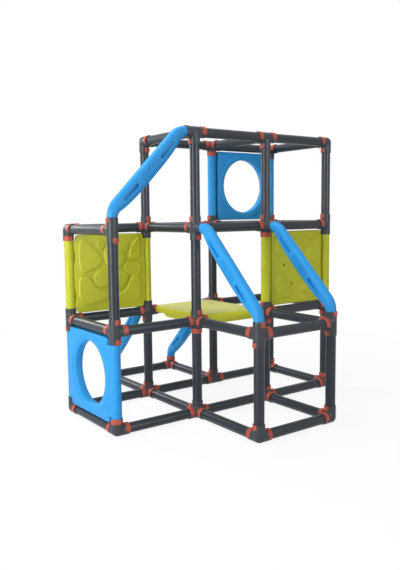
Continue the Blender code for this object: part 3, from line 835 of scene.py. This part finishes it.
class CLIMB_OT_crawl_panels(Operator):
    """Blue panels with a round crawl hole, moulded in one with their side tubes"""
    bl_idname = "climbing_frame.crawl_panels"
    bl_label = "Crawl Panels"

    def execute(self, context):
        sizes = context.scene.frame_panels
        front = -TUBE_RADIUS
        back = front + sizes.crawl_thickness
        hole, funnel = sizes.crawl_radius, sizes.funnel_radius
        front_loops = []
        for turn in map(math.radians, FUNNEL_TURNS):
            front_loops.append((funnel - (funnel - hole) * math.sin(turn),
                                front + FUNNEL_DEPTH * (1 - math.cos(turn))))
        front_loops += [(funnel + out, front + deep) for out, deep in RIM_BEAD]
        back_loops = [(radius + out, back - deep)
                      for radius, edge in ((sizes.disc_radius, DISC_EDGE), (hole, THROAT_EDGE))
                      for out, deep in edge]
        skin = Skin()
        loops = [skin.add(row) for row in plate_rows(
            "crawl", front, back - DISC_RISE, sizes, 0, front_loops, back_loops)]
        skin.weave(loops + loops[:1])
        add_side_tubes(skin, context)
        add_in_bays(context, skin.mesh("crawl_panel"), "blue", HOLE_PANELS)
        return {"FINISHED"}


# Stone panels

STONE_SETBACK = 0.002           # from the side tubes' fronts back to the plate's front
POCKET_WIDTH = 0.006
CORNER_SHARE = 0.44             # share of each side that a stone's rounded corner takes
CORNER_POINTS = 6
# Soft slope of a pad: how far in, and how high as a share of its height
PAD_SLOPE = ((-0.0008, -1 / 3), (-0.0002, 0), (0.0006, 0.12), (0.0018, 0.46), (0.0030, 0.80),
             (0.0042, 0.95), (0.0062, 1), (0.0080, 1.01))
# Slope of the shallow shapes behind the pads: how far in and how high
BACK_SLOPE = ((-0.0010, -0.001), (0, 0), (0.0022, 0.0014), (0.0048, 0.0046), (0.0068, 0.0064),
              (0.0088, 0.0070))
TACK_DENTS = ((0.710, 0.535), (0.586, 0.308))     # round dents in the back
DENT_CONE = ((0.0085, 0), (0.0078, 0.0008), (0.0060, 0.0095), (0.0045, 0.0105))
DENT_STEPS = 20
PLAIN_BEHIND = (7, 8)           # stones that don't show on the back, where the dents are


def rounded_outline(corners):
    """Closed outline in metres with each corner turned in a soft curve."""
    points = []
    corners = [Vector(corner) * PITCH for corner in corners]
    for before, corner, after in zip(corners[-1:] + corners, corners, corners[1:] + corners[:1]):
        start, end = corner.lerp(before, CORNER_SHARE), corner.lerp(after, CORNER_SHARE)
        for j in range(CORNER_POINTS):
            share = j / (CORNER_POINTS - 1)
            points.append(start.lerp(corner, share).lerp(corner.lerp(end, share), share))
    return points


def drawn_in(outline, distance):
    """Outline moved inwards by a distance along its normals."""
    area = sum(a.x * b.y - b.x * a.y for a, b in zip(outline, outline[1:] + outline[:1]))
    inwards = distance * math.copysign(1, area)
    moved = []
    for i, point in enumerate(outline):
        run = (outline[(i + 1) % len(outline)] - outline[i - 1]).normalized()
        moved.append(point + Vector((-run.y, run.x)) * inwards)
    return moved


def add_pad(skin, corners, base, slope):
    """Raised pad on a plate's face, from stations of how far in and which way and how high."""
    outline = rounded_outline(corners)
    skin.body([[Vector((point.x, base + rise, point.y)) for point in drawn_in(outline, inset)]
               for inset, rise in slope])


def add_dent(skin, middle, base):
    """Cone sunk in the back where both skins of the panel are joined; returns its rim."""
    turns, spot = turns_round(DENT_STEPS), [share * PITCH for share in middle]
    loops = [skin.add(face_ring([(radius, base - depth)] * DENT_STEPS, turns, spot))
             for radius, depth in DENT_CONE]
    skin.weave(loops)
    skin.cap(loops[-1])
    return loops[0]


class CLIMB_OT_stone_panels(Operator):
    """Green panels with raised stone pads, moulded in one with their side tubes"""
    bl_idname = "climbing_frame.stone_panels"
    bl_label = "Stone Panels"

    def execute(self, context):
        sizes = context.scene.frame_panels
        front = -TUBE_RADIUS + STONE_SETBACK
        back = -TUBE_RADIUS + sizes.thickness
        slope = [(inset, -share * sizes.stone_height) for inset, share in PAD_SLOPE]
        skin = Skin()
        loops = [skin.add(row) for row in plate_rows("stone", front, back, sizes, POCKET_WIDTH)]
        skin.weave(loops)
        skin.cap(loops[0])
        skin.cap(loops[-1], [add_dent(skin, middle, back) for middle in TACK_DENTS])
        add_side_tubes(skin, context)
        for i, corners in enumerate(STONES):
            add_pad(skin, corners, front, slope)
            if i not in PLAIN_BEHIND:
                add_pad(skin, corners, back, BACK_SLOPE)
        add_in_bays(context, skin.mesh("stone_panel"), "green", STONE_PANELS)
        return {"FINISHED"}


# Deck

DECK_RIBS = (0.25, 0.50, 0.75)
RIB_SIZE = (0.014, 0.012)       # width and height
RIB_ENDS = ((0.012, 1), (PITCH - 0.012, 1))
# Flange below the deck's open edges: place as a share of the pitch, and how full its height is
FLANGE = ((0.23, 0.12), (0.28, 0.90), (0.30, 1), (0.70, 1), (0.72, 0.90), (0.77, 0.12))
FLANGE_SIZE, FLANGE_INSET = (0.010, 0.018), 0.012
BAR_EDGE = 0.002
MAT_SIDE, MAT_MARGIN = 0.020, 0.008         # from the tubes' axes and from the plate's edge
MAT_EDGE = ((-0.0004, -0.001), (0, 0.0002), (0.0006, 0.0008), (0.0016, 0.0010))
MAT_TOP = 0.0008
STUD_SIDE, STUD_MARGIN = 0.030, 0.012
STUD_ROW = 0.866                # from row to row, as a share of the studs' spacing
STUD = ((0.0040, -0.0006), (0.0031, 0.0005), (0.0015, 0.0009))     # its radius and height
STUD_SIDES = 6


def add_bar(skin, stations, middle, base, size):
    """Rib across the deck's underside with rounded long edges, from its place and fullness."""
    half, height, edge = size[0] / 2, size[1], BAR_EDGE
    flank = [(half + edge, -2 * edge), (half, edge), (half, height - edge), (half - edge, height)]
    section = [(-aside, rise) for aside, rise in flank] + flank[::-1]
    skin.body([[Vector((across, base + rise * full, middle + aside)) for aside, rise in section]
               for across, full in stations])


def add_mat(skin, base, sizes):
    """Thin raised field with rounded edges that the studs stand on."""
    outline = Outline(MAT_SIDE, sizes.margin + MAT_MARGIN)
    skin.body([face_ring([(outline.reach(turn) - inset, base - height) for turn in OUTLINE_TURNS])
               for inset, height in MAT_EDGE])


def add_studs(skin, base, sizes):
    """Low round anti-slip studs in staggered rows, clear of the plate's cut corners."""
    outline = Outline(STUD_SIDE, sizes.margin + STUD_MARGIN)
    turns = turns_round(STUD_SIDES, 180 / STUD_SIDES)
    step = sizes.stud_spacing * STUD_ROW
    rows = int(HALF / step)
    for row in range(-rows, rows + 1):
        for column in range(-rows, rows + 1):
            spot = Vector(((column + row % 2 / 2) * sizes.stud_spacing, row * step))
            if spot.length <= outline.reach(math.atan2(spot.y, spot.x)):
                skin.body([face_ring([(radius, base - height)] * STUD_SIDES, turns,
                                     spot + Vector((HALF, HALF))) for radius, height in STUD])


class CLIMB_OT_deck(Operator):
    """Green deck with its anti-slip top, ribs below and moulded side tubes"""
    bl_idname = "climbing_frame.deck"
    bl_label = "Deck"

    def execute(self, context):
        sizes = context.scene.frame_panels
        front = -TUBE_RADIUS
        back = front + sizes.thickness
        matrix = bay_frame(*DECK, up="y+")
        skin = Skin()
        skin.body(plate_rows("deck", front, back, sizes))
        add_side_tubes(skin, context)
        for share in DECK_RIBS:
            add_bar(skin, RIB_ENDS, share * PITCH, back, RIB_SIZE)
        flange = [(share * PITCH, full) for share, full in FLANGE]
        inset = sizes.margin + FLANGE_INSET
        for middle in (inset, PITCH - inset):
            add_bar(skin, flange, middle, back, FLANGE_SIZE)
        add_piece("green_deck", skin.mesh("deck"), plastic(context, "green"), ["deck"],
                  matrix)
        # The anti-slip top gets a paler colour that is partly painted top light
        top = Skin()
        add_mat(top, front, sizes)
        add_studs(top, front - MAT_TOP, sizes)
        add_piece("deck_anti_slip_top", top.mesh("deck_anti_slip_top"),
                  plastic(context, "anti_slip"), ["deck"], matrix)
        return {"FINISHED"}


# Handrails

RAIL_STEPS = 56
RAIL_SHARP = 40                             # degrees: the slots' sloping walls stay smooth
SLOT_STEPS, SLOT_STEP = 5, 0.0022           # finer steps on either side of a slot's end
SLOT_CLEAR = 0.003                          # least gap from those to the even steps
SLOT_WALL = 0.0020                          # width of a slot's sloping wall
SLOT_SHALLOW, SLOT_FALL = 0.0050, 0.0090    # least depth, and how much deeper a slot gets
SQUARENESS = 0.9                            # how much squarer than round the full grip is
BELLY_POWER = 3
RIDGE_HEIGHT, RIDGE_WIDTH = 0.0005, 0.0045  # soft ridge along the outer third of a face
# Places across half a face: metres as far as a slot's walls, then shares of the rest
NEAR_SLOT = (0.0, 0.0030, 0.0052, 0.0067, 0.0082, 0.0100)
OUTER_FACE = (0.25, 0.5, 0.7, 0.85, 0.95)


def mirrored(spot):
    """A point of the spine's upper half that answers to one of its lower half."""
    return Vector((PITCH - spot.y, PITCH - spot.x))


class RailShape:
    """A handrail's surface: its spine, its widening grip and its slots."""

    def __init__(self, sizes, mouth):
        self.sizes = sizes
        drop = sizes.corner - sizes.bend * math.tan(math.pi / 8)
        self.bend_middle = Vector((sizes.bend, drop))
        self.straight = drop - TUBE_STOP
        self.slope_start = self.arc_point(math.pi / 4)
        slope = (mirrored(self.slope_start) - self.slope_start).length
        self.middle = self.straight + sizes.bend * math.pi / 4 + slope / 2
        self.length = 2 * self.middle
        self.grip_start = mouth - TUBE_STOP

    def arc_point(self, turn):
        """Point of the lower bend, which ends in the slope at an eighth of a turn."""
        return self.bend_middle + self.sizes.bend * Vector((-math.cos(turn), math.sin(turn)))

    def spine(self, along):
        """Point of the spine and its turn from upright; the upper half mirrors the lower one."""
        if along > self.middle:
            spot, turn = self.spine(self.length - along)
            return mirrored(spot), math.pi / 2 - turn
        if along < self.straight:
            return Vector((0, TUBE_STOP + along)), 0.0
        turn = (along - self.straight) / self.sizes.bend
        if turn < math.pi / 4:
            return self.arc_point(turn), turn
        past = (turn - math.pi / 4) * self.sizes.bend
        return self.slope_start + Vector((1, 1)).normalized() * past, math.pi / 4

    def fullness(self, along):
        """How far the grip has widened: 0 at the sockets' mouths, 1 in the middle."""
        share = (along - self.grip_start) / (self.length - 2 * self.grip_start)
        return 1 - abs(2 * share - 1) ** BELLY_POWER if 0 < share < 1 else 0.0

    def half_width(self, along):
        return TUBE_RADIUS + self.sizes.belly * self.fullness(along) / 2

    def slot_depth(self, along, aside):
        """Depth of the slots at a place on a broad face: they deepen towards the grip's middle."""
        sizes = self.sizes
        offset = abs(along - self.middle) - sizes.slot_offset
        beyond = max(abs(offset) - (sizes.slot_length - sizes.slot_width) / 2, 0)
        inside = sizes.slot_width / 2 - math.hypot(beyond, aside)
        share = min(max(0.5 - offset / sizes.slot_length, 0), 1)
        return smooth(0.5 + inside / SLOT_WALL) * (SLOT_SHALLOW + SLOT_FALL * share)

    def point(self, along, aside, face, lift=0.0):
        """Point of the skin: aside runs from the outer edge to the belly, and face is -1 or 1."""
        spot, turn = self.spine(along)
        inward = Vector((math.cos(turn), -math.sin(turn)))
        wide, fullness = self.half_width(along), self.fullness(along)
        power = 2 + SQUARENESS * fullness
        share = min(abs(aside) / wide, 1)
        thick = TUBE_RADIUS * (1 - share ** power) ** (1 / power)
        thick += RIDGE_HEIGHT * fullness * math.exp(-((aside + wide / 3) / RIDGE_WIDTH) ** 2)
        thick += lift - self.slot_depth(along, aside)
        spot += inward * (wide - TUBE_RADIUS + aside)
        return Vector((spot.x, face * thick, spot.y))

    def stations(self):
        """Lengths along the rail: even steps, finer round the ends of the slots."""
        fine = [self.middle + side * self.sizes.slot_offset + end * self.sizes.slot_length / 2
                + step * SLOT_STEP
                for side in (-1, 1) for end in (-1, 1)
                for step in range(-SLOT_STEPS, SLOT_STEPS + 1)]
        even = [self.length * i / RAIL_STEPS for i in range(RAIL_STEPS + 1)]
        return sorted(fine + [value for value in even
                              if all(abs(value - other) > SLOT_CLEAR for other in fine)])

    def section(self, along):
        """Points round the rail at a length along it, close together at a slot's walls."""
        edge, last = self.half_width(along), NEAR_SLOT[-1]
        half = [*NEAR_SLOT, *(last + (edge - last) * share for share in OUTER_FACE)]
        asides = [-value for value in half[:0:-1]] + half
        return [self.point(along, aside, face) for aside, face in (
            (-edge, 1), *((aside, 1) for aside in asides),
            (edge, 1), *((aside, -1) for aside in asides[::-1]))]


GRIP_RIBS, RIB_SPACING, RIB_INSET = 5, 0.0165, 0.0070
RIB_SHARES = (-1, -0.6, -0.2, 0.2, 0.6, 1)  # points along a rib, as shares of its half length
RIB_BEAD, FRAME_BEAD = (0.0078, 0.0026), (0.0044, 0.0024)     # widths and heights
BEAD_SINK = 0.001               # how deep a bead's foot lies in the rail
FRAME_CORNER, CORNER_STEPS = 0.008, 4


def add_bead(skin, shape, face, path, closed, size):
    """Raised bead that follows a path on a broad face."""
    width, height = size
    profile = ((-width / 2, -BEAD_SINK), (-width / 4, height), (width / 4, height),
               (width / 2, -BEAD_SINK))
    ends = (path[-1:], path[:1]) if closed else (path[:1], path[-1:])
    rows = []
    for before, (along, aside), after in zip(ends[0] + path, path, path[1:] + ends[1]):
        run = Vector((after[0] - before[0], after[1] - before[1])).normalized()
        rows.append([shape.point(along - run.y * off, aside + run.x * off, face, lift)
                     for off, lift in profile])
    if closed:
        loops = [skin.add(row) for row in rows]
        skin.weave(loops + loops[:1])
    else:
        skin.body(rows)


def add_grip_patch(skin, shape, face):
    """Plain grip ribs in a rounded frame, in the middle of a broad face."""
    half_length, half_width = shape.sizes.grip_length / 2, shape.sizes.grip_width / 2
    path = []
    for quarter, (a, b) in enumerate(((1, 1), (-1, 1), (-1, -1), (1, -1))):
        for i in range(CORNER_STEPS + 1):
            turn = math.pi / 2 * (quarter + i / CORNER_STEPS)
            path.append((
                shape.middle + a * (half_length - FRAME_CORNER) + FRAME_CORNER * math.cos(turn),
                b * (half_width - FRAME_CORNER) + FRAME_CORNER * math.sin(turn)))
    add_bead(skin, shape, face, path, True, FRAME_BEAD)
    for i in range(GRIP_RIBS):
        along = shape.middle + (i - (GRIP_RIBS - 1) / 2) * RIB_SPACING
        rib = [(along, (half_width - RIB_INSET) * share) for share in RIB_SHARES]
        add_bead(skin, shape, face, rib, False, RIB_BEAD)


class CLIMB_OT_handrails(Operator):
    """Blue sloping handrails with moulded slots and a framed patch of grip ribs"""
    bl_idname = "climbing_frame.handrails"
    bl_label = "Handrails"

    def execute(self, context):
        shape = RailShape(context.scene.frame_rails, context.scene.frame_sockets.reach)
        skin = Skin()
        skin.body([shape.section(along) for along in shape.stations()])
        for face in (-1, 1):
            add_grip_patch(skin, shape, face)
        add_in_bays(context, skin.mesh("handrail", RAIL_SHARP), "blue", HANDRAILS)
        return {"FINISHED"}


# Stage

CAMERA_PLACE = (2.5470, -1.9234, 0.9479)
CAMERA_TURN = (144.818, -5.892, -0.781)     # heading from +X towards +Y, pitch and roll, degrees
CAMERA_SHIFT = (0.0271, -0.0095)

# Lamps: name, place, what it points at, width, height, power in watts. A fill lights surfaces
# but doesn't show in their gloss, and a narrow gloss strip only shows there.
LAMPS = (
    ("front_fill", (0.85, -3.0, 1.35), (0, -0.2, 0.65), 1.30, 2.2, 64.0),
    ("left_fill", (-2.8, -1.3, 2.0), (0, 0, 0.6), 1.0, 1.2, 62.0),
    ("right_softbox", (3.8, 1.2, 2.2), (0, 0, 0.7), 1.4, 2.2, 34.0),
    ("top_softbox", (-0.3, -0.5, 3.9), (0, 0, 0.6), 2.2, 2.2, 90.0),
    ("front_gloss_strip", (0.62, -3.0, 1.1), (0, -0.2, 0.65), 0.26, 2.2, 74.0),
    ("left_gloss_strip", (-2.9, -1.0, 1.6), (0, 0, 0.5), 0.36, 1.0, 24.0),
    ("right_gloss_strip", (3.6, 0.5, 1.3), (0, 0, 0.8), 0.25, 1.8, 50.0),
)
WHITE = (1, 1, 1, 1)
SKY_COLOUR, SKY_STRENGTH = (0.94, 0.97, 1.0, 1), 0.23
FLOOR_TONES, FLOOR_SCALE = ((0.86, 0.86, 0.86, 1), (0.90, 0.90, 0.90, 1)), 1.5
# How much of the floor's shadow is left out, and the reach over which that grows
SHADOW_LEFT_OUT, SHADOW_REACH = (0.88, 1.0), (0.9, 2.4)


def camera_turn(heading, pitch, roll):
    """Rotation of a camera that looks along a heading, tilted and rolled, in degrees."""
    heading, pitch, roll = map(math.radians, (heading, pitch, roll))
    ahead = Vector((math.cos(pitch) * math.cos(heading), math.cos(pitch) * math.sin(heading),
                    math.sin(pitch)))
    right = ahead.cross(AXES["z+"]).normalized()
    up = right.cross(ahead)
    return Matrix((right * math.cos(roll) + up * math.sin(roll),
                   up * math.cos(roll) - right * math.sin(roll), -ahead)).transposed().to_4x4()


def seen_directly(nodes):
    """Whether a ray is the camera's, or one that shows the background in gloss or glass."""
    path = nodes.add("ShaderNodeLightPath")
    total = path.outputs["Is Camera Ray"]
    for name in ("Is Glossy Ray", "Is Transmission Ray"):
        inputs = {0: total, 1: path.outputs[name]}
        total = nodes.add("ShaderNodeMath", inputs, operation="ADD", use_clamp=True).outputs[0]
    return total


def floor_material():
    """Pale floor that reads as the white background and keeps a soft shadow."""
    material = bpy.data.materials.new("studio_floor")
    nodes = Nodes(material)
    coordinates = nodes.add("ShaderNodeTexCoord").outputs["Object"]
    pale = nodes.mix(nodes.noise(coordinates, FLOOR_SCALE), *FLOOR_TONES)
    away = nodes.add("ShaderNodeVectorMath", {0: coordinates}, operation="LENGTH")
    plain = nodes.spread(away.outputs["Value"], *SHADOW_LEFT_OUT, *SHADOW_REACH)
    share = nodes.add("ShaderNodeMath", {0: seen_directly(nodes), 1: plain}, operation="MULTIPLY")
    nodes.end("Material", share.outputs[0], nodes.add("ShaderNodeBsdfDiffuse", {"Color": pale}),
              nodes.add("ShaderNodeEmission", {"Color": WHITE, "Strength": 1.0}))
    return material


def make_world(scene):
    """Even pale sky that the camera and gloss see as white."""
    scene.world = bpy.data.worlds.new("studio")
    nodes = Nodes(scene.world)
    dim, white = (nodes.add("ShaderNodeBackground", {"Color": colour, "Strength": strength})
                  for colour, strength in ((SKY_COLOUR, SKY_STRENGTH), (WHITE, 1.0)))
    nodes.end("World", seen_directly(nodes), dim, white)


def make_lamps(level):
    for name, spot, target, width, height, power in LAMPS:
        light = bpy.data.lights.new(name, "AREA")
        light.shape = "RECTANGLE"
        light.size, light.size_y = width, height
        light.energy = power * level
        aim = (Vector(target) - Vector(spot)).to_track_quat("-Z", "Y").to_matrix().to_4x4()
        lamp = add_object(name, light, Matrix.Translation(spot) @ aim)
        lamp.visible_diffuse = "gloss" not in name
        lamp.visible_glossy = "fill" not in name


class CLIMB_OT_stage(Operator):
    """Pale floor, soft lamps, sky and the camera"""
    bl_idname = "climbing_frame.stage"
    bl_label = "Stage"

    def execute(self, context):
        settings = context.scene.frame_stage
        half = settings.floor_half
        mesh = bpy.data.meshes.new("floor")
        corners = [(-half, -half, 0), (half, -half, 0), (half, half, 0), (-half, half, 0)]
        mesh.from_pydata(corners, [], [(0, 1, 2, 3)])
        mesh.materials.append(floor_material())
        add_object("studio_floor", mesh)
        make_world(context.scene)
        make_lamps(settings.light_level)
        camera = add_object("camera", bpy.data.cameras.new("camera"),
                            Matrix.Translation(CAMERA_PLACE) @ camera_turn(*CAMERA_TURN))
        camera.data.lens = settings.lens
        camera.data.shift_x, camera.data.shift_y = CAMERA_SHIFT
        context.scene.camera = camera
        context.scene.view_settings.view_transform = "Standard"
        return {"FINISHED"}


OPERATORS = (CLIMB_OT_connectors, CLIMB_OT_tubes, CLIMB_OT_clips, CLIMB_OT_crawl_panels,
             CLIMB_OT_stone_panels, CLIMB_OT_deck, CLIMB_OT_handrails, CLIMB_OT_stage)
SETTINGS = {
    "frame_sockets": SocketSettings,
    "frame_panels": PanelSettings,
    "frame_rails": RailSettings,
    "frame_colours": ColourSettings,
    "frame_stage": StageSettings,
}


class CLIMB_PT_frame(Panel):
    """Sidebar list of the climbing frame's pieces"""
    bl_label = "Climbing Frame"
    bl_idname = "CLIMB_PT_frame"
    bl_space_type = "VIEW_3D"
    bl_region_type = "UI"
    bl_category = "Climbing Frame"

    def draw(self, context):
        for operator in OPERATORS:
            self.layout.operator(operator.bl_idname)
        for name, group in SETTINGS.items():
            box = self.layout.box()
            for setting in group.__annotations__:
                box.prop(getattr(context.scene, name), setting)


def register():
    for group in (*SETTINGS.values(), *OPERATORS, CLIMB_PT_frame):
        bpy.utils.register_class(group)
    for name, group in SETTINGS.items():
        setattr(bpy.types.Scene, name, PointerProperty(type=group))


def unregister():
    for name in SETTINGS:
        delattr(bpy.types.Scene, name)
    for group in reversed((*SETTINGS.values(), *OPERATORS, CLIMB_PT_frame)):
        bpy.utils.unregister_class(group)


def main():
    register()
    bpy.ops.climbing_frame.connectors()
    bpy.ops.climbing_frame.tubes()
    bpy.ops.climbing_frame.clips()
    bpy.ops.climbing_frame.crawl_panels()
    bpy.ops.climbing_frame.stone_panels()
    bpy.ops.climbing_frame.deck()
    bpy.ops.climbing_frame.handrails()
    bpy.ops.climbing_frame.stage()


if __name__ == "__main__":
    main()
